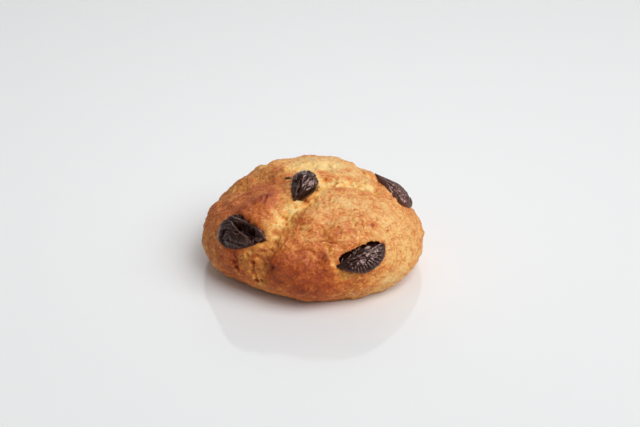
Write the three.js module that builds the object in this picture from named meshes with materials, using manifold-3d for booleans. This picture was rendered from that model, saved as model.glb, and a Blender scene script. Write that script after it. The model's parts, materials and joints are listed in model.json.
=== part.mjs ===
// Chocolate tea bun: a domed, craggy quick-bread bun with dark chocolate wafers half sunk in its crust.
// Millimetres, +Z up. The origin is on the surface that the bun stands on, under the middle of its box.
// A place on the bun is a bearing, in degrees round from the right side (+X) with the front at 270,
// and a tilt, in degrees down from the crown as seen from the middle of the waist.
import * as THREE from "three";
import { ImprovedNoise } from "three/addons/math/ImprovedNoise.js";
import { mergeVertices } from "three/addons/utils/BufferGeometryUtils.js";
import Module from "manifold-3d";

// Driving dimensions of the dough
const BUN_WIDTH = 83; // along X at the waist, before the lobes rise
const BUN_DEPTH = 80; // along Y at the waist
const WAIST_HEIGHT = 9.5; // the bun is widest this far above the table
const CROWN_RISE = 25; // from the waist up to the crown
const BASE_SHARE = 0.8; // width of the flat base as a share of the waist
const ROUNDNESS = 2.05; // exponent of the profile: 2 is an ellipse, more is squarer
const DOUGH_DETAIL = 23; // cuts along each edge of the icosahedron that becomes the dough

// Lobes that the dough rose or sank into: how far each reaches, and how far it stands out
const LOBES = [
  { part: "left flank", bearing: 165, tilt: 56, spread: 26, rise: -2.4 },
  { part: "left shoulder", bearing: 212, tilt: 54, spread: 14, rise: 1 },
  { part: "left ridge", bearing: 216, tilt: 42, spread: 8, rise: 1.4 },
  { part: "left ridge by the crown", bearing: 160, tilt: 27, spread: 9, rise: 1.2 },
  { part: "left of the crown", bearing: 136, tilt: 49, spread: 12, rise: 3 },
  { part: "right breast", bearing: 315, tilt: 55, spread: 24, rise: 0.8 },
  { part: "peak of the middle lobe", bearing: 266, tilt: 50, spread: 8, rise: 1.3 },
  { part: "front lobe", bearing: 263, tilt: 82, spread: 17, rise: 1.6 },
  { part: "knob beside the front wafer", bearing: 279, tilt: 72, spread: 5, rise: 1.2 },
  { part: "lower right bulge", bearing: 320, tilt: 97, spread: 18, rise: 1.6 },
  { part: "lower left hollow", bearing: 236, tilt: 104, spread: 20, rise: -2.2 },
  { part: "back of the crown", bearing: 90, tilt: 32, spread: 20, rise: 1.6 },
  { part: "back lobe by the crown", bearing: 50, tilt: 47, spread: 13, rise: 2.2 },
  { part: "hollow behind the right wafer", bearing: 34, tilt: 57, spread: 18, rise: -3.6 },
  { part: "hollow below the right wafer", bearing: 2, tilt: 70, spread: 13, rise: -1.5 },
  { part: "lip over the front wafer", bearing: 297, tilt: 65, spread: 10, rise: 1.2 },
  { part: "lip over the left wafer", bearing: 230, tilt: 57, spread: 9, rise: 1 },
  { part: "back right cheek", bearing: 50, tilt: 84, spread: 17, rise: 1.2 },
  { part: "back lobe", bearing: 100, tilt: 78, spread: 18, rise: 1.2 },
  { part: "back left cheek", bearing: 142, tilt: 84, spread: 17, rise: 0.8 },
];

// Cracks that opened between the lobes as they rose, each along a route of [bearing, tilt]
const CRACKS = [
  { route: [[262, 30], [256, 39], [251, 49], [247, 59], [244, 72], [240, 90]], width: 3.6, depth: 2.8 },
  { route: [[229, 62], [238, 65], [246, 66]], width: 2.4, depth: 1 },
  { route: [[300, 10], [333, 21], [349, 31], [353, 42], [357, 50]], width: 2.4, depth: 1.5 },
  { route: [[215, 12], [160, 13], [111, 16], [80, 18], [50, 28]], width: 2.4, depth: 0.9 },
  { route: [[252, 71], [262, 71], [270, 71], [276, 68], [284, 67]], width: 2.2, depth: 1 },
  { route: [[275, 79], [281, 78], [285, 82], [289, 88]], width: 2.4, depth: 0.9 },
  { route: [[24, 66], [38, 62], [52, 56], [70, 58]], width: 2.4, depth: 1.4 },
  { route: [[70, 50], [72, 60], [78, 72], [76, 86]], width: 2.6, depth: 1.6 },
  { route: [[138, 48], [126, 56], [120, 66], [124, 78], [120, 90]], width: 2.6, depth: 1.6 },
  { route: [[185, 52], [170, 62], [160, 72], [162, 84]], width: 2.2, depth: 1 },
];
const ROUTE_STEPS = 40; // points along each crack that the distance to it is measured from
const CRACK_WANDER = 1.6; // how far a crack's edge strays to each side
const CRACK_WANDER_WAVE = 5;

// Unevenness all over: the size of each kind of bump and how far it stands out
const BUMPS = [
  { wave: 15, rise: 0.9 },
  { wave: 7, rise: 0.6 },
  { wave: 3.6, rise: 0.35 },
];

// Chocolate wafers. Slew turns a wafer's right end up from level, and a lean below 0 sinks its upper edge.
// Taper draws the right end to a point, or the left end if it is below 0. Sink is how deep its middle lies.
const WAFERS = [
  {
    name: "chocolate_left", bearing: 222, tilt: 68, length: 22, width: 12.6, thick: 8.5,
    slew: 11, lean: -4, taper: 0.4, sink: 0.7, dents: [{ at: [3, 2.5], reach: 3, depth: 1.8 }],
  },
  {
    name: "chocolate_crown", bearing: 246, tilt: 17.5, length: 16, width: 9.4, thick: 9,
    slew: 92, lean: 0, taper: -0.25, sink: 0.6, dents: [],
  },
  {
    name: "chocolate_right", bearing: 7, tilt: 60.5, length: 18.5, width: 12.5, thick: 7,
    slew: 66, lean: 0, taper: 0.3, sink: 1.3, dents: [],
  },
  {
    name: "chocolate_front", bearing: 298, tilt: 73, length: 21.5, width: 18, thick: 6.5,
    slew: 13, lean: -34, taper: 0, sink: 2.8, dents: [],
  },
  {
    name: "chocolate_back_left", bearing: 115, tilt: 83, length: 19, width: 12.5, thick: 7.5,
    slew: 30, lean: 0, taper: 0.1, sink: 1.4, dents: [],
  },
  {
    name: "chocolate_back_right", bearing: 62, tilt: 82, length: 20, width: 11.5, thick: 8,
    slew: -20, lean: -10, taper: -0.15, sink: 1.4, dents: [],
  },
];
const WAFER_RIM = 0.25; // 0 gives a wafer a rounded rim, more a sharper one
const WAFER_DETAIL = 4; // cuts along each edge of the icosahedron that becomes a wafer
const SOCKET_GAP = 0.35; // air between a wafer and the crust that it sits in
const LIP_RISE = 0.9; // how far the crust swells up round a wafer
const LIP_REACH = 0.3; // how broad that lip is, as a share of the wafer

const DOUGH_COLOUR = 0xc98a4b;
const CHOCOLATE_COLOUR = 0x35241f;

const radians = THREE.MathUtils.degToRad;
const noise = new ImprovedNoise();
const WAIST_MIDDLE = new THREE.Vector3(0, 0, WAIST_HEIGHT);
// How far a full rounded underside would drop below the waist; the flat base cuts it off.
const UNDERSIDE_DROP = WAIST_HEIGHT / (1 - BASE_SHARE ** ROUNDNESS) ** (1 / ROUNDNESS);

// Unit vector from the middle of the waist towards a place on the bun.
function towards(bearing, tilt) {
  const flat = Math.sin(radians(tilt));
  const turn = radians(bearing);
  return new THREE.Vector3(flat * Math.cos(turn), flat * Math.sin(turn), Math.cos(radians(tilt)));
}

// Half the width of the oval waist below or above a direction.
function waistRadius(direction) {
  const turn = Math.atan2(direction.y, direction.x);
  return 1 / Math.hypot(Math.cos(turn) / (BUN_WIDTH / 2), Math.sin(turn) / (BUN_DEPTH / 2));
}

// The dough as first shaped, before it rose unevenly: the point of a smooth dome in a direction.
function smoothPoint(direction) {
  const across = Math.hypot(direction.x, direction.y) / waistRadius(direction);
  const upright = Math.abs(direction.z) / (direction.z > 0 ? CROWN_RISE : UNDERSIDE_DROP);
  const reach = (across ** ROUNDNESS + upright ** ROUNDNESS) ** (-1 / ROUNDNESS);
  return direction.clone().multiplyScalar(reach).add(WAIST_MIDDLE);
}

const smoothPlace = (bearing, tilt) => smoothPoint(towards(bearing, tilt));

const lobes = LOBES.map((lobe) => ({ ...lobe, middle: smoothPlace(lobe.bearing, lobe.tilt) }));

// How far the lobes lift the crust at a point of the smooth dome.
function lobeRelief(point) {
  let rise = 0;
  for (const lobe of lobes) {
    const share = point.distanceTo(lobe.middle) / lobe.spread;
    if (share < 1) rise += lobe.rise * (1 - share ** 2) ** 2;
  }
  return rise;
}

const cracks = CRACKS.map((crack) => {
  const line = new THREE.CatmullRomCurve3(crack.route.map(([bearing, tilt]) => smoothPlace(bearing, tilt)));
  return { ...crack, points: line.getSpacedPoints(ROUTE_STEPS) };
});

// How deep the cracks cut the crust at a point. A crack is shallower towards its two ends.
function crackRelief(point) {
  const wave = point.clone().divideScalar(CRACK_WANDER_WAVE);
  const astray = new THREE.Vector3(
    noise.noise(wave.x, wave.y, wave.z),
    noise.noise(wave.y, wave.z, wave.x + 7),
    noise.noise(wave.z, wave.x, wave.y + 13),
  );
  const seen = point.clone().addScaledVector(astray, CRACK_WANDER);
  let depth = 0;
  for (const crack of cracks) {
    crack.points.forEach((place, i) => {
      const open = Math.sqrt(Math.sin((Math.PI * (i + 0.5)) / (ROUTE_STEPS + 1)));
      const away = seen.distanceTo(place) / crack.width;
      depth = Math.max(depth, crack.depth * open * Math.exp(-away * away));
    });
  }
  return depth;
}

// Where a wafer lies. Before it is turned, its X, Y and Z are across the slope, up the slope and out of the crust.
function waferMatrix({ bearing, tilt, slew, lean, sink }) {
  const step = 0.5;
  const place = smoothPlace(bearing, tilt);
  const across = smoothPlace(bearing + step, tilt).sub(smoothPlace(bearing - step, tilt)).normalize();
  const upSlope = smoothPlace(bearing, tilt - step).sub(smoothPlace(bearing, tilt + step)).normalize();
  const out = across.clone().cross(upSlope).normalize();
  upSlope.copy(out).cross(across);
  const lying = new THREE.Matrix4().makeBasis(across, upSlope, out);
  const turned = new THREE.Matrix4().makeRotationFromEuler(
    new THREE.Euler(radians(lean), 0, radians(slew), "ZYX"),
  );
  return lying.multiply(turned).setPosition(place.addScaledVector(out, -sink));
}

const wafers = WAFERS.map((wafer) => {
  const place = waferMatrix(wafer);
  return { ...wafer, place, inward: place.clone().invert() };
});

// How far the crust swells up as a lip round the nearest wafer.
function lipRelief(point) {
  let rise = 0;
  for (const { length, width, inward } of wafers) {
    const seen = point.clone().applyMatrix4(inward);
    const share = Math.hypot(seen.x / (length / 2), seen.y / (width / 2), seen.z / length);
    rise = Math.max(rise, LIP_RISE * Math.exp(-(((share - 1) / LIP_REACH) ** 2)));
  }
  return rise;
}

function bumpRelief(point) {
  let rise = 0;
  for (const { wave, rise: height } of BUMPS) {
    rise += height * noise.noise(point.x / wave, point.y / wave, point.z / wave + wave);
  }
  return rise;
}

// The dough with its lobes, cracks and bumps, still round underneath.
function doughGeometry() {
  const ball = new THREE.IcosahedronGeometry(1, DOUGH_DETAIL);
  const places = ball.getAttribute("position");
  const direction = new THREE.Vector3();
  for (let i = 0; i < places.count; i++) {
    direction.fromBufferAttribute(places, i).normalize();
    const point = smoothPoint(direction);
    const relief = lobeRelief(point) - crackRelief(point) + lipRelief(point) + bumpRelief(point);
    point.addScaledVector(direction, relief);
    places.setXYZ(i, point.x, point.y, point.z);
  }
  return ball;
}

// A wafer lying flat, its length along X: a lens with a rim, tapered to one end and dented on top.
// Grow moves its whole surface out, for the socket that it leaves.
function waferGeometry({ length, width, thick, taper, dents }, grow) {
  const ball = new THREE.IcosahedronGeometry(1, WAFER_DETAIL);
  ball.deleteAttribute("normal");
  ball.deleteAttribute("uv");
  const lens = mergeVertices(ball);
  const places = lens.getAttribute("position");
  const spot = new THREE.Vector3();
  for (let i = 0; i < places.count; i++) {
    spot.fromBufferAttribute(places, i).normalize();
    const x = (spot.x * length) / 2;
    const y = ((spot.y * width) / 2) * (1 - Math.sign(taper) * spot.x) ** Math.abs(taper);
    let z = ((Math.abs(spot.z) ** WAFER_RIM * spot.z) * thick) / 2;
    for (const { at, reach, depth } of dents) {
      const away = Math.hypot(x - at[0], y - at[1]) / reach;
      if (z > 0) z -= Math.min(z, depth) * Math.exp(-away * away);
    }
    places.setXYZ(i, x, y, z);
  }
  lens.computeVertexNormals();
  const normals = lens.getAttribute("normal");
  for (let i = 0; i < places.count; i++) {
    places.setXYZ(
      i,
      places.getX(i) + normals.getX(i) * grow,
      places.getY(i) + normals.getY(i) * grow,
      places.getZ(i) + normals.getZ(i) * grow,
    );
  }
  lens.computeVertexNormals();
  return lens;
}

const wasm = await Module();
wasm.setup();

// A closed three.js geometry as a manifold-3d solid.
function solid(geometry) {
  const bare = geometry.clone();
  bare.deleteAttribute("normal");
  bare.deleteAttribute("uv");
  const merged = mergeVertices(bare, 1e-4);
  return new wasm.Manifold(
    new wasm.Mesh({
      numProp: 3,
      vertProperties: new Float32Array(merged.getAttribute("position").array),
      triVerts: new Uint32Array(merged.index.array),
    }),
  );
}

// A manifold-3d solid as a three.js geometry.
function geometryOf(made) {
  const mesh = made.getMesh();
  const geometry = new THREE.BufferGeometry();
  geometry.setAttribute("position", new THREE.BufferAttribute(mesh.vertProperties, 3));
  geometry.setIndex(new THREE.BufferAttribute(mesh.triVerts, 1));
  geometry.computeVertexNormals();
  return geometry;
}

// The baked dough: flat where it stood on the tray, with a socket round each wafer.
function bunGeometry() {
  const tray = new THREE.BoxGeometry(2 * BUN_WIDTH, 2 * BUN_DEPTH, 2 * WAIST_HEIGHT);
  tray.translate(0, 0, -WAIST_HEIGHT);
  let bun = solid(doughGeometry()).subtract(solid(tray));
  for (const wafer of wafers) {
    bun = bun.subtract(solid(waferGeometry(wafer, SOCKET_GAP).applyMatrix4(wafer.place)));
  }
  return geometryOf(bun);
}

function part(name, geometry, material) {
  const mesh = new THREE.Mesh(geometry, material);
  mesh.name = name;
  return mesh;
}

const crust = new THREE.MeshStandardMaterial({ color: DOUGH_COLOUR, roughness: 0.8, metalness: 0 });
const chocolate = new THREE.MeshStandardMaterial({ color: CHOCOLATE_COLOUR, roughness: 0.4, metalness: 0 });

const teaBun = new THREE.Group();
teaBun.add(part("bun", bunGeometry(), crust));
for (const wafer of wafers) {
  const mesh = part(wafer.name, waferGeometry(wafer, 0), chocolate);
  wafer.place.decompose(mesh.position, mesh.quaternion, mesh.scale);
  teaBun.add(mesh);
}

// The lobes and wafers make the box lopsided, so it is centred over the origin.
const middle = new THREE.Box3().setFromObject(teaBun, true).getCenter(new THREE.Vector3());
teaBun.position.set(-middle.x, -middle.y, 0);

export default teaBun;
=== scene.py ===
import json
import math

import bpy
import numpy as np
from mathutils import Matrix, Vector, bvhtree, kdtree, noise

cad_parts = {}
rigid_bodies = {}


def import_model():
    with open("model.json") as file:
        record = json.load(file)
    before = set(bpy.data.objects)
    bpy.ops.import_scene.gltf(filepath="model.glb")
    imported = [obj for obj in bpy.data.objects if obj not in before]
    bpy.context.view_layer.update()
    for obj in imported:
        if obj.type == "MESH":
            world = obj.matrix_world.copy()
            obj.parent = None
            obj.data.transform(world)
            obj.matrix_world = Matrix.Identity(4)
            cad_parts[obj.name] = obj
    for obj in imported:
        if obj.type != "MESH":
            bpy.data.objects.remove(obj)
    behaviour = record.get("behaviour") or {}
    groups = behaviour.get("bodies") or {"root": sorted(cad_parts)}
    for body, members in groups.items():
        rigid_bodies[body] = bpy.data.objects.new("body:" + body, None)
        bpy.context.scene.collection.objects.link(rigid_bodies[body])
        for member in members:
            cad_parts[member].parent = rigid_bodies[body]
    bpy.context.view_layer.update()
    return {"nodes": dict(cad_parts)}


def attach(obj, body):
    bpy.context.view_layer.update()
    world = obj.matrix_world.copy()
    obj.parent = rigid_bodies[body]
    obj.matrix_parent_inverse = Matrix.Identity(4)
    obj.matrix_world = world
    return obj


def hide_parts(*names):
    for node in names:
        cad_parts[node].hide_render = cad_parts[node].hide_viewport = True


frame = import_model()

# Camera
# A long lens looks down on the bun from the front, about 30 degrees above the table top.
# It is turned a little so that the bun stands where it stands in the photograph.
IMAGE_WIDTH, IMAGE_HEIGHT = 640, 427
LENS, SENSOR = 85, 36
FOCAL_PIXELS = IMAGE_WIDTH * LENS / SENSOR
CAMERA_DISTANCE = 0.5768
CAMERA_ELEVATION = math.radians(30)
BASE_MIDDLE_PIXEL = (312, 257)
turn_right = math.atan((IMAGE_WIDTH / 2 - BASE_MIDDLE_PIXEL[0]) / FOCAL_PIXELS)
look_up = math.atan((BASE_MIDDLE_PIXEL[1] - IMAGE_HEIGHT / 2) / FOCAL_PIXELS)
bpy.ops.object.camera_add(
    location=(
        0,
        -CAMERA_DISTANCE * math.cos(CAMERA_ELEVATION),
        CAMERA_DISTANCE * math.sin(CAMERA_ELEVATION),
    ),
    rotation=(math.pi / 2 - CAMERA_ELEVATION + look_up, 0, -turn_right),
)
camera = bpy.context.object
camera.data.lens = LENS
camera.data.sensor_width = SENSOR
bpy.context.scene.camera = camera
bpy.context.view_layer.update()


def sight_line(pixel):
    """The camera's place and the direction in which it sees a pixel of the photograph."""
    across = (pixel[0] - IMAGE_WIDTH / 2) / FOCAL_PIXELS
    down = (pixel[1] - IMAGE_HEIGHT / 2) / FOCAL_PIXELS
    direction = camera.matrix_world.to_3x3() @ Vector((across, -down, -1))
    return camera.matrix_world.translation.copy(), direction.normalized()


def pixels_of(places):
    """The pixels of the photograph that places fall on, one row each."""
    turned = np.array(camera.matrix_world.inverted())
    seen = places @ turned[:3, :3].T + turned[:3, 3]
    ahead = -seen[:, 2]
    across = IMAGE_WIDTH / 2 + FOCAL_PIXELS * seen[:, 0] / ahead
    down = IMAGE_HEIGHT / 2 - FOCAL_PIXELS * seen[:, 1] / ahead
    return np.stack([across, down], axis=1)


# Chocolate wafers
# Thin round drops of dark baking chocolate, pressed into the dough and baked half sunk in it.
# The oven left them wrinkled and cracked, with a dull grey bloom on what stands highest. The right one is
# greyed all over, partly by bloom and partly by a painted sheen.
MM = 0.001
WAFER_VOXEL = 0.22 * MM
WAFER_ROUNDING = 8


def copy_of(node, name):
    """A new piece with the form of a CAD node, its loose triangles merged, selected alone."""
    bpy.ops.object.select_all(action="DESELECT")
    piece = bpy.data.objects.new(name, frame["nodes"][node].data.copy())
    bpy.context.collection.objects.link(piece)
    piece.select_set(True)
    bpy.context.view_layer.objects.active = piece
    piece.data.materials.clear()
    bpy.ops.object.mode_set(mode="EDIT")
    bpy.ops.mesh.select_all(action="SELECT")
    bpy.ops.mesh.remove_doubles(threshold=0.002 * MM)
    bpy.ops.object.mode_set(mode="OBJECT")
    return piece


def shape_by(piece, kind, **settings):
    """Adds a modifier to a piece, sets it and applies it."""
    modifier = piece.modifiers.new(kind.lower(), kind)
    for name, value in settings.items():
        setattr(modifier, name, value)
    bpy.context.view_layer.objects.active = piece
    bpy.ops.object.modifier_apply(modifier=modifier.name)


def roughen(piece, texture, height, **settings):
    """Raises and sinks a piece's surface by a texture, by half the height each way."""
    shape_by(
        piece, "DISPLACE", texture=texture, texture_coords="LOCAL", strength=height, mid_level=0.5, **settings
    )


def relief(name, kind, size, **settings):
    """A texture for relief: its kind, the size of its grain and its other settings."""
    texture = bpy.data.textures.new(name, kind)
    texture.noise_scale = size
    for setting, value in settings.items():
        setattr(texture, setting, value)
    return texture


def points_of(piece):
    """The places of a piece's points, one row each."""
    places = np.empty(len(piece.data.vertices) * 3)
    piece.data.vertices.foreach_get("co", places)
    return places.reshape(-1, 3)


def normals_of(piece):
    """The outward direction at each of a piece's points, one row each."""
    normals = np.empty(len(piece.data.vertices) * 3)
    piece.data.vertex_normals.foreach_get("vector", normals)
    return normals.reshape(-1, 3)


def move_points(piece, places):
    """Puts a piece's points at new places."""
    piece.data.vertices.foreach_set("co", places.ravel())
    piece.data.update()


def standing_out(piece, rounding):
    """How far each point of a piece stands out of the same piece smoothed, in millimetres."""
    smoothed = piece.copy()
    smoothed.data = piece.data.copy()
    bpy.context.collection.objects.link(smoothed)
    shape_by(smoothed, "SMOOTH", factor=0.5, iterations=rounding)
    out = ((points_of(piece) - points_of(smoothed)) * normals_of(smoothed)).sum(1) / MM
    bpy.data.objects.remove(smoothed)
    return out


def store(piece, name, values):
    """Keeps one number for each point of a piece, for its material to read."""
    attribute = piece.data.attributes.new(name, "FLOAT", "POINT")
    attribute.data.foreach_set("value", np.asarray(values, dtype=np.float32))


def away_from(places, route):
    """How far each place is from the nearest stretch of a route."""
    nearest = np.full(len(places), np.inf)
    for start, end in zip(route[:-1], route[1:]):
        along = end - start
        share = np.clip((places - start) @ along / (along @ along), 0, 1)
        nearest = np.minimum(nearest, np.linalg.norm(places - start - share[:, None] * along, axis=1))
    return nearest


def right_of(pixels, route):
    """How far each pixel lies to the right of a route, as one goes along it; less than 0 is to the left."""
    nearest = np.full(len(pixels), np.inf)
    side = np.zeros(len(pixels))
    for start, end in zip(route[:-1], route[1:]):
        along = end - start
        share = np.clip((pixels - start) @ along / (along @ along), 0, 1)
        gap = pixels - start - share[:, None] * along
        away = np.linalg.norm(gap, axis=1)
        closer = away < nearest
        nearest[closer] = away[closer]
        side[closer] = np.sign(along[0] * gap[closer, 1] - along[1] * gap[closer, 0])
    return side * nearest


def cloudy(places, size, layer, flat=1):
    """Smooth noise at each place, from about -1 to 1, in swells of a size, lying flat; each layer differs."""
    shift = Vector((3.7, 1.9, 7.3)) * layer
    return np.array([noise.noise(Vector(place) + shift) for place in places * (1, 1, flat) / size])


NOISE_SEED = 2
noise.seed_set(NOISE_SEED)
RAGGED_BY = 0.3
RAGGED_OFTEN = 1.9


def flaky(places, size, layer):
    """Plates of a size with ragged edges. It gives each place a chance number of its plate, its rise along
    the plate's own slope, and how far it is from the plate's edge."""
    shift = Vector((5.1, 2.3, 8.9)) * layer
    plates = []
    for place in places / size:
        here = Vector(place) + shift
        bent = here + RAGGED_BY * noise.noise_vector(RAGGED_OFTEN * here)
        gaps, middles = noise.voronoi(bent)
        chance = noise.cell_vector(17.3 * middles[0])
        plates.append((chance.x, (bent - middles[0]).dot(chance), gaps[1] - gaps[0]))
    return np.array(plates).T


def swelling(share):
    """A smooth step from 0 to 1."""
    share = np.clip(share, 0, 1)
    return share * share * (3 - 2 * share)


def srgb(red, green, blue):
    """A colour as a paint chart gives it, 0 to 255, in the linear light that shaders use."""
    shares = [channel / 255 for channel in (red, green, blue)]
    linear = [s / 12.92 if s <= 0.04045 else ((s + 0.055) / 1.055) ** 2.4 for s in shares]
    return (*linear, 1)


class Value:
    """One socket of a finish, which takes part in plain arithmetic."""

    def __init__(self, finish, socket):
        self.finish = finish
        self.socket = socket

    def maths(self, operation, first, second):
        return self.finish.node("Math", {"operation": operation}, {0: first, 1: second})

    def __add__(self, other):
        return self.maths("ADD", self, other)

    def __sub__(self, other):
        return self.maths("SUBTRACT", self, other)

    def __rsub__(self, other):
        return self.maths("SUBTRACT", other, self)

    def __mul__(self, other):
        return self.maths("MULTIPLY", self, other)

    __radd__ = __add__
    __rmul__ = __mul__


class Finish:
    """A material made of nodes, read on the object's own coordinates."""

    def __init__(self, name):
        self.material = bpy.data.materials.new(name)
        self.material.use_nodes = True
        self.tree = self.material.node_tree
        self.shader = self.tree.nodes["Principled BSDF"]
        self.place = self.node("TexCoord", {}, {}, "Object")

    def feed(self, socket, value):
        if isinstance(value, Value):
            self.tree.links.new(value.socket, socket)
        else:
            socket.default_value = value

    def node(self, kind, settings, inputs, output=0):
        """Adds a node of a kind with its settings, feeds its inputs and gives one of its outputs."""
        added = self.tree.nodes.new("ShaderNode" + kind)
        for name, value in settings.items():
            if name == "stops":
                ramp = added.color_ramp.elements
                while len(ramp) < len(value):
                    ramp.new(1)
                for element, (position, colour) in zip(ramp, value):
                    element.position = position
                    element.color = colour
            else:
                setattr(added, name, value)
        for name, value in inputs.items():
            self.feed(added.inputs[name], value)
        return Value(self, added.outputs[output])

    def grain(self, size, detail=2.0, roughness=0.55, flat=1):
        """Cloudy noise between 0 and 1 with grains of a size in metres, pressed flat as in layered dough."""
        place = self.node("Mapping", {}, {"Vector": self.place, "Scale": (1, 1, flat)})
        return self.node(
            "TexNoise",
            {},
            {"Vector": place, "Scale": 1 / size, "Detail": detail, "Roughness": roughness},
        )

    def above(self, amount, start, full):
        """A mask that rises from 0 to 1 as an amount goes from a start to where it is full."""
        limits = {"Value": amount, "From Min": start, "From Max": full}
        return self.node("MapRange", {"interpolation_type": "SMOOTHSTEP"}, limits)

    def stored(self, name):
        """A number that was kept for each point of the piece."""
        return self.node("Attribute", {"attribute_name": name}, {}, "Fac")

    def ramp(self, amount, stops):
        """Colours that follow an amount."""
        return self.node("ValToRGB", {"stops": stops}, {"Fac": amount})

    def mix(self, amount, first, second):
        """One colour turning into another."""
        settings = {"data_type": "RGBA", "clamp_factor": True}
        return self.node("Mix", settings, {0: amount, 6: first, 7: second}, 2)

    def bumped(self, height, depth):
        """The surface's direction, tipped by relief too fine for the mesh."""
        return self.node("Bump", {}, {"Height": height, "Distance": depth, "Strength": 1})

    def paint(self, **inputs):
        """Feeds the shader's own sockets, named in small letters with low lines for spaces."""
        for name, value in inputs.items():
            self.feed(self.shader.inputs[name.replace("_", " ").title().replace("Ior", "IOR")], value)


# The grey mixed in is bloom, and on the right wafer also painted sheen
chocolate = Finish("baked_chocolate")
dust = chocolate.grain(0.45 * MM, 3)
chocolate.paint(
    base_color=chocolate.mix(chocolate.stored("bloom") * dust, srgb(28, 10, 6), srgb(138, 100, 91)),
    roughness=0.07 + 0.22 * dust,
    specular_ior_level=0.55,
    specular_tint=(1, 0.66, 0.6, 1),
    normal=chocolate.bumped(dust, 0.04 * MM),
)

# What the oven did to the wafers that show: grooves by pixel, with half width and depth in millimetres,
# and lines by pixel, with the depth to which the wafer sank on their right
GROOVES = [
    ("chocolate_crown", [(303, 170), (300, 180), (299, 192)], 1.2, 1.6),
    ("chocolate_crown", [(301, 180), (307, 181), (313, 186)], 0.35, 0.5),
    ("chocolate_crown", [(309, 173), (310, 179), (307, 188)], 0.3, 0.4),
    ("chocolate_crown", [(311, 190), (305, 193), (299, 196)], 0.35, 0.4),
    ("chocolate_left", [(222, 240), (228, 235), (226, 227)], 0.4, 0.5),
    ("chocolate_left", [(236, 249), (238, 241), (233, 234)], 0.4, 0.5),
    ("chocolate_left", [(218, 225), (226, 226), (235, 229)], 0.4, 0.4),
    ("chocolate_front", [(349, 262), (358, 259), (364, 255)], 0.5, 0.6),
    ("chocolate_front", [(364, 255), (368, 262), (366, 268)], 0.35, 0.4),
    ("chocolate_front", [(362, 252), (370, 252), (379, 247)], 0.35, 0.4),
    ("chocolate_front", [(361, 259), (370, 258), (379, 254)], 0.35, 0.4),
    ("chocolate_right", [(388, 183), (395, 189), (404, 199)], 0.5, 0.6),
    ("chocolate_right", [(397, 186), (398, 193), (394, 197)], 0.35, 0.5),
]
SUNKEN = [
    ("chocolate_left", [(250, 248), (247, 236), (237, 228), (228, 216)], 3.6),
    ("chocolate_front", [(390, 238), (366, 250), (350, 258), (333, 266)], 1.2),
]
KEPT_RIM = [(228, 217), (245, 220), (255, 226), (262, 232), (265, 238), (258, 242), (250, 247)]

# Wafers of which less shows than their solids have. Some end in a tip: its middle and tip by pixel, a share
# of narrowing, and pixels of lengthening and slide. One has the side that faces the camera drawn back
TIPPED = {
    "chocolate_crown": ((306, 183), (297, 202), 0.5, 2.5, (-1.6, -1.2)),
    "chocolate_right": ((393, 188), (373, 172), 0.8, 0, (0, 0)),
    "chocolate_front": ((364, 259), (337, 266), 0.35, -2.5, (-1.2, 0)),
}
NARROWED = "chocolate_right"
DRAWN_BACK_ABOVE = 0.5
DRAWN_BACK_BELOW = 0.1
DRAWN_BACK_FROM = -5 * MM
DEEPEST_WHERE_NARROWED = 0.42

# Flutes that the mould left on one rim, and the folds, cracked plates, wrinkles and bloom of all the wafers,
# with a painted sheen that greys the right one all over
FLUTED = "chocolate_front"
FLUTED_RIM = [(384, 247), (383, 256), (377, 263), (369, 268), (356, 271)]
FLUTE_MIDDLE = (355, 248)
FLUTES_IN_A_TURN = 44
FLUTE_HEIGHT = 0.2
FLUTE_LENGTH = 5
FOLD_SIZE = 1.5 * MM
FOLD_WIDTH = 0.3
FOLD_HEIGHT = 0.1
LENGTHWISE = (0.4, 1, 1)
PLATE_SIZE = 3.4 * MM
PLATE_LAYER = 16
OTHER_PLATE_LAYER = {"chocolate_left": 11}
PLATE_TILT = 2
OTHER_PLATE_TILT = {"chocolate_front": 0.7, "chocolate_back_left": 1.1, "chocolate_back_right": 1.0}
CRACK_WIDTH = 0.12
CRACK_DEPTH = 0.25
SWELL = 0.3
OTHER_SWELL = {"chocolate_front": 0.6, "chocolate_back_left": -0.3, "chocolate_back_right": -0.5}
WRINKLE_HEIGHT = 0.4 * MM
GRAIN_HEIGHT = 0.15 * MM
BLOOM_ON_RIDGES = 2.5
BLOOM_MOST = 0.6
# Partly bloom and partly painted sheen: the right wafer is greyed all over
EVEN_BLOOM_AND_SHEEN = {"chocolate_right": 0.6}


def pull_to_tip(wafer, middle, tip, narrowing, lengthening, slide):
    """Slides a wafer a little and draws its end out to a tip. Places, length and slide are in pixels, and
    the narrowing is a share."""
    places = points_of(wafer)
    pixels = pixels_of(places)
    along = np.array(tip, dtype=float) - middle
    reach = np.linalg.norm(along)
    along /= reach
    across = np.array([-along[1], along[0]])
    share = np.clip((pixels - middle) @ along / reach, 0, 1.2)[:, None]
    aside = ((pixels - middle) @ across)[:, None]
    shift = slide + share * (lengthening * along - narrowing * aside * across)
    rightwards, upwards = np.array(camera.matrix_world.to_3x3()).T[:2]
    metres = CAMERA_DISTANCE / FOCAL_PIXELS
    move_points(wafer, places + metres * (shift[:, :1] * rightwards - shift[:, 1:] * upwards))


def way_out(wafer):
    """The direction in which a wafer's face looks, out of the bun."""
    places = points_of(wafer)
    middle = places.mean(axis=0)
    outward = np.linalg.svd(places - middle, full_matrices=False)[2][2]
    return outward * np.sign(outward @ middle)


def draw_back(wafer, above, below, start):
    """Draws back the side of a wafer that faces the camera, by one share at its upper end and by another at
    its lower end, from a start off its middle."""
    places = points_of(wafer)
    middle = places.mean(axis=0)
    outward = way_out(wafer)
    near = np.array(camera.matrix_world.translation) - middle
    near -= (near @ outward) * outward
    near /= np.linalg.norm(near)
    ahead = np.clip((places - middle) @ near - start, 0, None)
    along = (places - middle) @ np.cross(outward, near)
    share = np.interp(along, [along.min(), along.max()], [above, below])
    move_points(wafer, places - (share * ahead)[:, None] * near)


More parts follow.
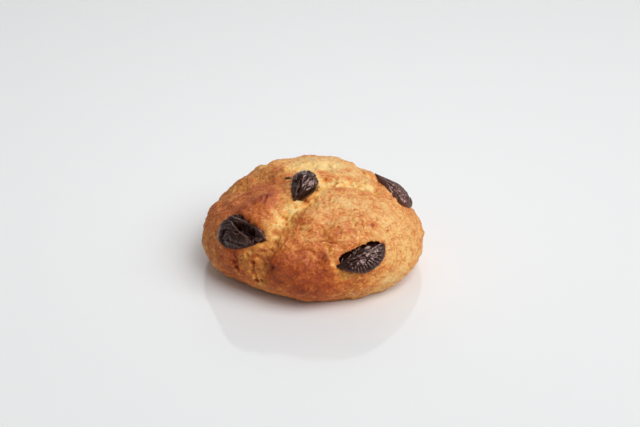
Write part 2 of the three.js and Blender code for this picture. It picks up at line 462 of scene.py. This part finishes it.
wrinkles = relief("wafer_wrinkles", "CLOUDS", 1.9 * MM, noise_depth=2)
grain = relief("wafer_grain", "CLOUDS", 0.7 * MM, noise_depth=1)
wafers = []
for node in [name for name in frame["nodes"] if name.startswith("chocolate")]:
    wafer = copy_of(node, node.replace("chocolate", "wafer"))
    shape_by(wafer, "REMESH", mode="VOXEL", voxel_size=WAFER_VOXEL, use_smooth_shade=True)
    shape_by(wafer, "SMOOTH", factor=0.5, iterations=WAFER_ROUNDING)
    shape_by(wafer, "DISPLACE", strength=OTHER_SWELL.get(node, SWELL) * MM, mid_level=0)
    if node in TIPPED:
        pull_to_tip(wafer, *TIPPED[node])
    if node == NARROWED:
        draw_back(wafer, DRAWN_BACK_ABOVE, DRAWN_BACK_BELOW, DRAWN_BACK_FROM)
    bpy.context.view_layer.update()
    places = points_of(wafer)
    normals = normals_of(wafer)
    pixels = pixels_of(places)
    facing = swelling(2 * normals @ np.array(camera.matrix_world.to_3x3().col[2]))
    middle = places.mean(axis=0)
    own_axes = np.linalg.svd(places - middle, full_matrices=False)[2]
    lengthwise = (places - middle) @ own_axes.T * LENGTHWISE
    folds = cloudy(lengthwise, FOLD_SIZE, 10)
    slope, edge = flaky(lengthwise, PLATE_SIZE, OTHER_PLATE_LAYER.get(node, PLATE_LAYER))[1:]
    sunk = -FOLD_HEIGHT * swelling(1 - np.abs(folds) / FOLD_WIDTH)
    sunk -= OTHER_PLATE_TILT.get(node, PLATE_TILT) * slope
    sunk += CRACK_DEPTH * swelling(1 - edge / CRACK_WIDTH)
    for name, route, half_width, depth in GROOVES:
        if name == node:
            bed = np.array([wafer.ray_cast(*sight_line(pixel))[1] for pixel in route])
            away = away_from(places, bed) / (half_width * MM) + 0.3 * cloudy(places, 1.2 * MM, 5)
            sunk = np.maximum(sunk, depth * swelling(1 - away))
    if node == NARROWED:
        sunk = np.minimum(sunk, DEEPEST_WHERE_NARROWED)
    for name, route, depth in SUNKEN:
        if name == node:
            inner = right_of(pixels, np.array(route, dtype=float))
            hollow = swelling(inner / 2 + 0.5 + 0.4 * cloudy(places, 1.5 * MM, 6))
            inside = away_from(pixels, np.array(KEPT_RIM, dtype=float))
            sunk += depth * hollow * facing * swelling(inside / 4 - 0.2)
    if node == FLUTED:
        across, down = (pixels - FLUTE_MIDDLE).T
        rim = facing * swelling(1.4 - away_from(pixels, np.array(FLUTED_RIM, dtype=float)) / FLUTE_LENGTH)
        sunk -= FLUTE_HEIGHT * rim * np.cos(FLUTES_IN_A_TURN * np.arctan2(down, across))
    move_points(wafer, places - normals * sunk[:, None] * MM)
    roughen(wafer, wrinkles, WRINKLE_HEIGHT)
    roughen(wafer, grain, GRAIN_HEIGHT)
    ridges = np.clip(BLOOM_ON_RIDGES * standing_out(wafer, 40), 0, BLOOM_MOST)
    # Bloom on the ridges, and on the right wafer also a painted sheen all over
    store(wafer, "bloom", EVEN_BLOOM_AND_SHEEN.get(node, 0) + ridges)
    wafer.data.materials.append(chocolate.material)
    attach(wafer, "root")
    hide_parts(node)
    wafers.append(wafer)

# Bun
# The baked dough of a quick bread. On a flat tray it rose into soft lobes, split between them and browned.
# Its crust is carved out of the plain dough of the frame, whose place it takes.
BUN_VOXEL = 0.437 * MM
BUN_ROUNDING = 25
WAIST_HEIGHT = 9.5 * MM
FIRST_CUT = 0.15 * MM
LAST_CUT = 0.3 * MM
CUT_WITHIN = 0.001 * MM
BUN_REACH = 0.1


def cut_foot(height):
    """Cuts the bun off level at a height above the tray and leaves it open below."""
    bpy.ops.object.mode_set(mode="EDIT")
    bpy.ops.mesh.select_all(action="SELECT")
    bpy.ops.mesh.bisect(
        plane_co=(0, 0, height), plane_no=(0, 0, 1), clear_inner=True, threshold=CUT_WITHIN
    )
    bpy.ops.object.mode_set(mode="OBJECT")


# Dough fills the hollows of the wafers that are drawn in, up to a depth in millimetres
FILLED = {"chocolate_right": 2.4, "chocolate_front": 2.8}
FILL_SWELL = 0.4 * MM
bun = copy_of("bun", "bun_crust")
for node, depth in FILLED.items():
    fill = copy_of(node, "dough_under_wafer")
    shape_by(fill, "DISPLACE", strength=FILL_SWELL, mid_level=0)
    move_points(fill, points_of(fill) - depth * MM * way_out(fill))
    bun.select_set(True)
    bpy.context.view_layer.objects.active = bun
    bpy.ops.object.join()
shape_by(bun, "REMESH", mode="VOXEL", voxel_size=BUN_VOXEL, use_smooth_shade=True)
shape_by(bun, "SMOOTH", factor=0.5, iterations=BUN_ROUNDING)
cut_foot(FIRST_CUT)
bpy.context.view_layer.update()


def seen_at(pixel):
    """The point of the bun that a pixel of the photograph shows."""
    return np.array(bun.ray_cast(*sight_line(pixel))[1])


def found_at(bearing, tilt):
    """The point of the bun at a bearing, right at 0 and front at 270, and at a tilt from the crown."""
    turn, lean = math.radians(bearing), math.radians(tilt)
    out = Vector((math.sin(lean) * math.cos(turn), math.sin(lean) * math.sin(turn), math.cos(lean)))
    return np.array(bun.ray_cast(Vector((0, 0, WAIST_HEIGHT)) + BUN_REACH * out, -out)[1])


# Where the dough rose or fell a little: places by pixel or by bearing and tilt, reach and height
RISEN = [
    ("right bank of the valley", (291, 222), 4, 0.4),
    ("low on that bank", (284, 238), 4, 0.2),
    ("floor of the valley", (281, 232), 3, 0.5),
    ("low floor of the valley", (271, 252), 3, 0.6),
    ("upper left outline", (247, 181), 5, 1.3),
    ("left of the crown", (269, 167), 3.5, 0.8),
    ("back outline", (353, 168), 3.5, 0.9),
    ("crown", (304, 158), 4, -0.5),
    ("beside the right wafer", (371, 176), 3, 0.8),
    ("at the tip of the right wafer", (379, 181), 2, 0.9),
    ("below the crown wafer", (308, 195), 3.0, -1.2),
    ("at the tip of the front wafer", (337, 266), 1.5, 1.4),
    ("bump on the right outline", (420, 231), 2.0, -0.6),
]
FOUND_RISEN = [
    ("right shoulder", (14, 72), 6, -1.0),
    ("above the right shoulder", (20, 58), 4, -0.6),
    ("low on the right", (345, 92), 6, 1.0),
    ("left side", (172, 80), 4, 1.0),
]
places = points_of(bun)
lift = np.zeros(len(places))
risen = [(seen_at(pixel), reach, height) for part, pixel, reach, height in RISEN]
risen += [(found_at(*spot), reach, height) for part, spot, reach, height in FOUND_RISEN]
for middle, reach, height in risen:
    lift += height * np.exp(-0.5 * (np.linalg.norm(places - middle, axis=1) / (reach * MM)) ** 2)
move_points(bun, places + normals_of(bun) * lift[:, None] * MM)
bpy.context.view_layer.update()

# Splits where the crust tore and crumb shows: routes by pixel or by bearing and tilt, half width and depth
SEEN_SPLITS = [
    (
        "valley",
        [(302, 202), (291, 211), (284, 220), (278, 231), (271, 243), (264, 254), (258, 277)],
        3.2,
        0.35,
    ),
    ("long crack", [(321, 181), (334, 185), (348, 184), (361, 186), (375, 190)], 2.6, 0.9),
    ("over the crown", [(288, 169), (298, 164), (312, 164), (326, 168)], 2.6, 0.4),
    ("beside the crown wafer", [(322, 184), (318, 194), (308, 203)], 1.8, 0.5),
    ("beside the front wafer", [(327, 247), (333, 256), (334, 266), (344, 276)], 1.4, 0.5),
    ("under the left wafer", [(262, 243), (250, 252), (243, 263)], 2.0, 0.4),
    ("foot of the left side", [(252, 268), (262, 280)], 1.6, 0.5),
]
BACK_SPLITS = [
    ("behind the right wafer", [(24, 66), (38, 62), (52, 56), (70, 58)], 2.0, 0.7),
    ("between the back wafers", [(70, 50), (72, 60), (78, 72), (76, 86)], 2.4, 0.6),
    ("behind the left side", [(138, 48), (126, 56), (120, 66), (124, 78), (120, 90)], 2.4, 0.6),
    ("left side", [(166, 56), (160, 64), (154, 73), (158, 85)], 2.0, 0.5),
    ("behind the crown", [(128, 16), (105, 17), (80, 18), (50, 28)], 2.2, 0.4),
]
splits = [(np.array([seen_at(pixel) for pixel in route]), *size) for part, route, *size in SEEN_SPLITS]
splits += [(np.array([found_at(*spot) for spot in route]), *size) for part, route, *size in BACK_SPLITS]
SPLIT_DEPTH = 1.0 * MM

wafer_points = []
wafer_faces = []
for wafer in wafers:
    first = len(wafer_points)
    wafer_points += points_of(wafer).tolist()
    wafer_faces += [[first + corner for corner in face.vertices] for face in wafer.data.polygons]
all_wafers = bvhtree.BVHTree.FromPolygons(wafer_points, wafer_faces)


def from_wafers(places, reach):
    """For each place in reach of a wafer: its number, the wafer's nearest point, the way out of the wafer
    there, and how far off it is."""
    for index, place in enumerate(places):
        nearest, out, face, away = all_wafers.find_nearest(place, reach)
        if nearest:
            yield index, np.array(nearest), np.array(out), away


def weigh(piece, name, weights):
    """A vertex group with one weight for each point, for a modifier to follow."""
    group = piece.vertex_groups.new(name=name)
    for index, weight in enumerate(np.clip(weights, 0, 1).tolist()):
        group.add((index,), weight, "REPLACE")


# The crust: splits, swells, ledges, flakes, lumps, crags and billows, calmer towards the wafers
CALM_REACH = 2.5 * MM
FLAKE_SIZE = 3.4 * MM
SMALL_FLAKE_SIZE = 1.5 * MM
EVEN_CRAGS, ROUGH_CRAGS, TORN_CRAGS = 0.04, 0.08, 0.55
SWELL_HEIGHT = 0.9 * MM
LEDGE_HEIGHT = 0.4 * MM
FLAKE_HEIGHT = 0.42 * MM
SETTLED = 0.41 * MM
LUMP_HEIGHT = 0.9 * MM
CRAG_HEIGHT = 2.9 * MM
BILLOW_HEIGHT = 0.65 * MM
CRUST_GRAIN_HEIGHT = 0.08 * MM
places = points_of(bun)
ragged = cloudy(places, 3.2 * MM, 1) + 0.6 * cloudy(places, 1.2 * MM, 2)
torn = np.zeros(len(places))
sunk = np.zeros(len(places))
for route, half_width, depth in splits:
    share = away_from(places, route) / (half_width * MM) + 0.7 * ragged
    inside = swelling(1.3 - 0.8 * share)
    torn = np.maximum(torn, inside)
    sunk = np.maximum(sunk, depth * inside)
rough = 0.5 + 0.8 * cloudy(places, 8 * MM, 9)
ledges = 0.7 * cloudy(places, 2.6 * MM, 7, 2) + 0.45 * cloudy(places, 1.2 * MM, 8, 1.8)
chance, slope, edge = flaky(places, FLAKE_SIZE, 12)
small_chance, small_slope, small_edge = flaky(places, SMALL_FLAKE_SIZE, 13)
flakes = 0.5 * (chance + slope) + 0.35 * (small_chance + small_slope)
seams = np.maximum(swelling(1 - edge / 0.12), 0.6 * swelling(1 - small_edge / 0.16))
calm = np.ones(len(places))
for index, nearest, out, away in from_wafers(places, CALM_REACH):
    calm[index] = away / CALM_REACH
calm = swelling(calm)
weigh(bun, "calm", calm)
weigh(bun, "splits", sunk * calm)
weigh(bun, "craggy", (EVEN_CRAGS + ROUGH_CRAGS * rough + TORN_CRAGS * torn) * calm)
weigh(bun, "ledges", 0.5 + 0.5 * ledges * calm)
weigh(bun, "flakes", 0.5 + (0.5 * flakes - 0.4 * seams) * calm)
shape_by(bun, "DISPLACE", strength=-SPLIT_DEPTH, mid_level=0, vertex_group="splits")
swells = relief("crust_swells", "CLOUDS", 6.5 * MM, noise_depth=1)
roughen(bun, swells, SWELL_HEIGHT, vertex_group="calm")
shape_by(bun, "DISPLACE", strength=LEDGE_HEIGHT, mid_level=0, vertex_group="ledges")
shape_by(bun, "DISPLACE", strength=FLAKE_HEIGHT, mid_level=0, vertex_group="flakes")
shape_by(bun, "DISPLACE", strength=-SETTLED, mid_level=0)
lumps = relief("crust_lumps", "VORONOI", 2.8 * MM, distance_metric="DISTANCE_SQUARED")
roughen(bun, lumps, -LUMP_HEIGHT, vertex_group="craggy")
crags = relief("crust_crags", "CLOUDS", 1.9 * MM, noise_depth=2)
roughen(bun, crags, CRAG_HEIGHT, vertex_group="craggy")
billows = relief("crust_billows", "CLOUDS", 2.6 * MM, noise_type="HARD_NOISE", noise_depth=3)
roughen(bun, billows, BILLOW_HEIGHT, vertex_group="calm")
roughen(bun, relief("crust_grain", "CLOUDS", 0.6 * MM, noise_depth=1), CRUST_GRAIN_HEIGHT)

# The dough closes round each wafer as it bakes, and its edge ends inside the chocolate
CLOSING_REACH = 1.6 * MM
BITE = 0.35 * MM
RIM_ROUNDING = 5
places = points_of(bun)
closing = np.zeros(len(places))
for index, nearest, out, away in from_wafers(places, CLOSING_REACH):
    above = away if (places[index] - nearest) @ out > 0 else -away
    closing[index] = swelling(1.5 - 1.5 * above / CLOSING_REACH)
    places[index] += closing[index] * (nearest - BITE * out - places[index])
move_points(bun, places)
weigh(bun, "closing", closing)
shape_by(bun, "SMOOTH", factor=0.5, iterations=RIM_ROUNDING, vertex_group="closing")

# Pits that burst bubbles left, large ones by pixel, with reach and depth, and small ones all over; and
# fissures, each a route by pixel with half width and depth
SEEN_PITS = [
    ((270, 268), 1.7, 1.6),
    ((253, 271), 1.1, 1.0),
    ((234, 262), 1.2, 1.2),
    ((236, 267), 1.0, 1.0),
    ((257, 281), 1.2, 1.4),
    ((262, 281), 1.0, 0.9),
    ((286, 219), 0.9, 0.8),
    ((322, 226), 0.9, 0.7),
    ((338, 227), 0.8, 0.6),
    ((373, 225), 0.9, 0.6),
    ((386, 220), 0.8, 0.6),
    ((388, 231), 0.8, 0.6),
    ((340, 214), 0.8, 0.5),
]
PITS = 900
PIT_REACH = (0.4, 0.8)
PIT_DEPTH = (0.05, 0.25)
PIT_MOST = 1.6
FISSURES = [
    ([(320, 242), (325, 241), (330, 243), (336, 243)], 0.6, 0.6),
    ([(295, 252), (302, 250), (308, 250), (314, 252)], 0.5, 0.35),
    ([(263, 203), (266, 197), (269, 191)], 0.7, 0.7),
    ([(234, 254), (237, 262), (238, 270)], 0.8, 0.9),
    ([(253, 262), (254, 270), (257, 280)], 0.7, 0.8),
]
PIT_SEED = 5
luck = np.random.default_rng(PIT_SEED)
places = points_of(bun)
lookup = kdtree.KDTree(len(places))
for index, place in enumerate(places):
    lookup.insert(place, index)
lookup.balance()
pits = [(seen_at(pixel), reach * MM, depth) for pixel, reach, depth in SEEN_PITS]
for chosen in luck.integers(0, len(places), PITS):
    pits.append((places[chosen], luck.uniform(*PIT_REACH) * MM, luck.uniform(*PIT_DEPTH)))
pitted = np.zeros(len(places))
for middle, reach, depth in pits:
    for place, index, away in lookup.find_range(middle, reach):
        pitted[index] = max(pitted[index], depth * (1 - (away / reach) ** 2))
for route, half_width, depth in FISSURES:
    bed = np.array([seen_at(pixel) for pixel in route])
    away = away_from(places, bed) / (half_width * MM) + 0.4 * ragged
    pitted = np.maximum(pitted, depth * swelling(1 - away))
weigh(bun, "pits", pitted / PIT_MOST)
shape_by(bun, "DISPLACE", strength=-PIT_MOST * MM, mid_level=0, vertex_group="pits")

# How far the crust is browned, from 0, pale, to 1, dark, by the oven and in places by painted light and
# shade, and the patches that differ: places by pixel or by bearing and tilt, reach and change
BAKE = 0.24
LOBES_BROWN = 0.14
# Painted light and shade: small rises are made paler and small hollows browner
RISES_LIT_HOLLOWS_SHADED = 0.12
EDGE_HEIGHT = 0.12
# Painted shade: pits and the seams between flakes are made browner
PITS_PAINTED_SHADE = 0.3
SEAMS_PAINTED_SHADE = 0.1
FLAKES_BROWN = 0.08
CLOUDS_BROWN = 0.07
RIMS_BROWN = 0.12
CRUMB_BROWN = 0.4
CRUMB_PALE = 0.04
BROWNING_AND_PAINTED_LIGHT = [
    # The front lobe and its foot are browner partly for their crust and partly as painted shade; left of the
    # lobe a pit is darkened as painted shade
    ("front lobe", (298, 276), 8, 0.41),
    ("left of the front lobe", (272, 268), 4, 0.3),
    ("foot of the front lobe", (318, 290), 7, 0.28),
    ("under the peak", (308, 240), 6, 0.02),
    ("middle lobe", (318, 228), 7, -0.02),
    ("left shoulder", (245, 206), 9, 0.37),
    ("left lobe", (262, 186), 7, 0.2),
    ("left ridge", (267, 196), 1.8, 0.5),
    ("ridge left of the crown", (284, 172), 3.4, 0.22),
    ("left edge", (212, 240), 9, 0.06),
    ("foot of the left side", (236, 266), 9, 0.35),
    ("over the front wafer", (345, 240), 6, 0.17),
    ("peak", (304, 223), 4, 0.07),
    ("under the front wafer", (365, 287), 8, 0.13),
    ("low in the valley", (267, 251), 4, 0.1),
    ("spot right of the crown", (324, 173), 2.0, 0.42),
    ("recess above the long crack", (350, 179), 1.3, 0.35),
    ("pale ridge of the long crack", (348, 184), 2.0, -0.22),
    ("pale crumb beside the crown wafer", (325, 187), 1.8, -0.22),
    ("pale end of the long crack", (369, 188), 2.0, -0.2),
    ("rust on the peak", (302, 219), 1.5, 0.28),
    ("rust beside the front wafer", (325, 257), 1.6, 0.4),
    ("rust by the long crack", (378, 193), 1.8, 0.22),
    ("rust on the right flank", (373, 225), 1.2, 0.3),
    ("rust on the crown", (306, 162), 1.4, 0.3),
    ("rust on the back lobe", (347, 170), 1.6, 0.25),
    ("rust near the right wafer", (361, 175), 1.4, 0.22),
    ("outline above the right wafer", (365, 170), 4, -0.2),
    # The crown is paler partly for its crust and partly as a painted highlight on its crest
    ("crown", (314, 163), 8, -0.42),
    ("valley", (284, 221), 5, -0.06),
    ("back lobe", (352, 172), 7, -0.15),
    # Painted sheen: these two stretches of the outline are made paler for the sheen along them
    ("outline left of the crown", (255, 173), 5, -0.12),
    ("outline of the left lobe", (230, 195), 5, -0.14),
    ("right flank", (378, 222), 9, -0.06),
    ("right edge", (410, 240), 7, -0.08),
    ("long crack", (340, 185), 5, 0.14),
    ("end of the long crack", (365, 188), 5, 0.1),
    ("lump right of the crown", (342, 202), 2.2, -0.25),
    ("foot of the right side", (388, 284), 6, -0.14),
]
FOUND_BROWNED = [
    ((90, 45), 9, 0.2),
    ((60, 60), 6, 0.1),
    ((100, 70), 9, 0.3),
    ((145, 70), 9, 0.3),
    ((20, 80), 9, 0.15),
    ((50, 88), 8, 0.25),
    ((175, 75), 8, 0.25),
]
places = points_of(bun)
spotty = 1 + 0.25 * cloudy(places, 2.6 * MM, 3) + 0.15 * cloudy(places, 0.9 * MM, 4)
patches = [(seen_at(pixel), reach, change) for part, pixel, reach, change in BROWNING_AND_PAINTED_LIGHT]
patches += [(found_at(*spot), reach, change) for spot, reach, change in FOUND_BROWNED]
bake = np.full(len(places), BAKE)
for middle, reach, change in patches:
    away = np.linalg.norm(places - middle, axis=1) / (reach * MM)
    bake += change * spotty * np.exp(-0.5 * away**2)
bake += LOBES_BROWN * np.clip(standing_out(bun, 150), -1, 1)
# Painted light and shade: small rises paler and small hollows browner, as light and shade would show them
bake -= RISES_LIT_HOLLOWS_SHADED * np.clip(standing_out(bun, 12) / EDGE_HEIGHT, -1.5, 1)
# Painted shade in pits and in the seams between flakes; raised flakes brown for real
bake += PITS_PAINTED_SHADE * pitted + SEAMS_PAINTED_SHADE * seams + FLAKES_BROWN * flakes
bake += CLOUDS_BROWN * cloudy(places, 6 * MM, 14)
bake += RIMS_BROWN * (1 - calm) ** 2
bake += torn * (CRUMB_BROWN * cloudy(places, 2.4 * MM, 15, 2) - CRUMB_PALE)
# Kept for the material: the oven's browning together with painted light and shade
store(bun, "bake", bake)
store(bun, "crumb", torn)

# The foot: loose bits go, the rim is pressed flat on the tray, and the bottom is closed
bpy.ops.object.select_all(action="DESELECT")
bun.select_set(True)
bpy.context.view_layer.objects.active = bun
cut_foot(LAST_CUT)
bpy.ops.object.mode_set(mode="EDIT")
bpy.ops.mesh.select_all(action="DESELECT")
bpy.ops.object.mode_set(mode="OBJECT")
bun.data.vertices[int(points_of(bun)[:, 2].argmax())].select = True
bpy.ops.object.mode_set(mode="EDIT")
bpy.ops.mesh.select_linked()
bpy.ops.mesh.select_all(action="INVERT")
bpy.ops.mesh.delete(type="VERT")
bpy.ops.mesh.select_mode(type="EDGE")
bpy.ops.mesh.select_all(action="DESELECT")
bpy.ops.mesh.select_non_manifold(
    extend=False,
    use_wire=False,
    use_multi_face=False,
    use_non_contiguous=False,
    use_verts=False,
)
bpy.ops.transform.resize(value=(1, 1, 0), center_override=(0, 0, 0))
bpy.ops.mesh.fill_holes(sides=0)
bpy.ops.mesh.select_mode(type="VERT")
bpy.ops.object.mode_set(mode="OBJECT")

crust = Finish("baked_crust")
clouds = crust.grain(4 * MM, 2, 0.5, 1.5) - 0.5
specks = crust.grain(0.8 * MM, 4, 0.65) - 0.5
# The browning that the material follows holds painted light and shade as well as the oven's colour
browning_and_painted_light = crust.stored("bake") + 0.6 * clouds + 0.5 * specks
skin = crust.ramp(
    browning_and_painted_light,
    [
        (0.0, srgb(241, 206, 146)),
        (0.2, srgb(234, 174, 104)),
        (0.4, srgb(226, 143, 69)),
        (0.6, srgb(209, 111, 44)),
        (0.8, srgb(174, 80, 28)),
        (1.0, srgb(131, 53, 19)),
    ],
)
crumb = crust.ramp(
    browning_and_painted_light,
    [
        (0.0, srgb(253, 226, 160)),
        (0.25, srgb(240, 182, 94)),
        (0.5, srgb(223, 142, 64)),
        (1.0, srgb(165, 88, 42)),
    ],
)
open_crumb = crust.stored("crumb")
rust = crust.above(crust.grain(1.8 * MM, 3, 0.6, 1.6) + 0.25 * browning_and_painted_light - 0.15 * open_crumb, 0.62, 0.7)
flecks = crust.above(crust.grain(1.9 * MM, 3, 0.6, 1.8) - 0.35 * browning_and_painted_light, 0.42, 0.5)
bare = crust.mix(open_crumb + 1.6 * (crust.grain(3 * MM) - 0.5), skin, crumb)
rusty = crust.mix(0.45 * rust, bare, srgb(176, 78, 36))
fine = crust.grain(0.8 * MM, 5, 0.6)
crust.paint(
    base_color=crust.mix(0.55 * flecks, rusty, srgb(247, 197, 118)),
    roughness=0.4 + 0.2 * fine,
    specular_ior_level=0.3,
    normal=crust.bumped(fine, 0.38 * MM),
    subsurface_weight=0.1,
    subsurface_radius=(1.0, 0.45, 0.2),
    subsurface_scale=1.2 * MM,
)
bun.data.materials.append(crust.material)
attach(bun, "root")
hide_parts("bun")

# Chip of chocolate
# A splinter that broke off a wafer when the dough was mixed. It lies in the crust left of the crown wafer.
# Like the wafers it is dark baking chocolate, and half of it is sunk in the dough.
CHIP_ENDS = (285, 179), (291.5, 178)
CHIP_HALF_WIDTH = 0.7 * MM
CHIP_HALF_HEIGHT = 0.55 * MM
CHIP_WRINKLE_HEIGHT = 0.5 * MM
bpy.context.view_layer.update()
ends = [Vector(seen_at(pixel)) for pixel in CHIP_ENDS]
chip_length = (ends[1] - ends[0]).length
bpy.ops.object.select_all(action="DESELECT")
bpy.ops.mesh.primitive_ico_sphere_add(
    subdivisions=5,
    radius=1,
    location=(ends[0] + ends[1]) / 2,
    rotation=(ends[1] - ends[0]).to_track_quat("X", "Z").to_euler(),
    scale=(chip_length / 2, CHIP_HALF_WIDTH, CHIP_HALF_HEIGHT),
)
chip = bpy.context.object
chip.name = "chip"
bpy.ops.object.transform_apply(location=True, rotation=True, scale=True)
bpy.ops.object.shade_smooth()
roughen(chip, relief("chip_wrinkles", "CLOUDS", 0.8 * MM, noise_depth=1), CHIP_WRINKLE_HEIGHT)
store(chip, "bloom", np.clip(BLOOM_ON_RIDGES * standing_out(chip, 10), 0, BLOOM_MOST))
chip.data.materials.append(chocolate.material)
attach(chip, "root")

# Table top
# A plain white top with a hard polish, in which the bun is mirrored faintly.
# It is stage and no part of the bun, so it only has to reach past the camera's view.
TABLE_SIZE = 8
bpy.ops.object.select_all(action="DESELECT")
bpy.ops.mesh.primitive_plane_add(size=TABLE_SIZE)
table = bpy.context.object
table.name = "table_top"
polish = Finish("white_top")
polish.paint(base_color=(0.85, 0.86, 0.865, 1), roughness=0.05, specular_ior_level=0.18)
table.data.materials.append(polish.material)

# Light
# A white room with a large window high up at the front right and a skylight that shows only in gloss.
# A bright wall at the back, fading towards its edges, is what the table top mirrors.
ROOM_LIGHT = 0.26
world = bpy.data.worlds.new("room")
world.use_nodes = True
world.node_tree.nodes["Background"].inputs["Color"].default_value = (1, 1, 1, 1)
world.node_tree.nodes["Background"].inputs["Strength"].default_value = ROOM_LIGHT
bpy.context.scene.world = world
bpy.context.scene.view_settings.view_transform = "Standard"


def soft_lamp(name, place, width, height, power):
    """A flat lamp that faces the bun."""
    facing = (-Vector(place)).to_track_quat("-Z", "Y").to_euler()
    bpy.ops.object.light_add(type="AREA", location=place, rotation=facing)
    lamp = bpy.context.object
    lamp.name = name
    lamp.data.shape = "RECTANGLE"
    lamp.data.size = width
    lamp.data.size_y = height
    lamp.data.energy = power
    return lamp


window = soft_lamp("window", place=(1.1, -0.74, 1.75), width=2.0, height=2.0, power=46)
window.visible_glossy = False
skylight = soft_lamp("skylight", place=(1.1, 0, 1.66), width=1.4, height=1.4, power=55)
skylight.visible_diffuse = False
back_wall = soft_lamp("back_wall", place=(0, 2.2, 1.25), width=4.4, height=2.2, power=76)
back_wall.data.use_nodes = True
glow = back_wall.data.node_tree
across = glow.nodes.new("ShaderNodeNewGeometry").outputs["Parametric"]
centred = glow.nodes.new("ShaderNodeMapping")
centred.inputs["Location"].default_value = (-1, -1, 0)
centred.inputs["Scale"].default_value = (2, 2, 0)
fading = glow.nodes.new("ShaderNodeTexGradient")
fading.gradient_type = "QUADRATIC_SPHERE"
glow.links.new(across, centred.inputs["Vector"])
glow.links.new(centred.outputs["Vector"], fading.inputs["Vector"])
glow.links.new(fading.outputs["Fac"], glow.nodes["Emission"].inputs["Strength"])
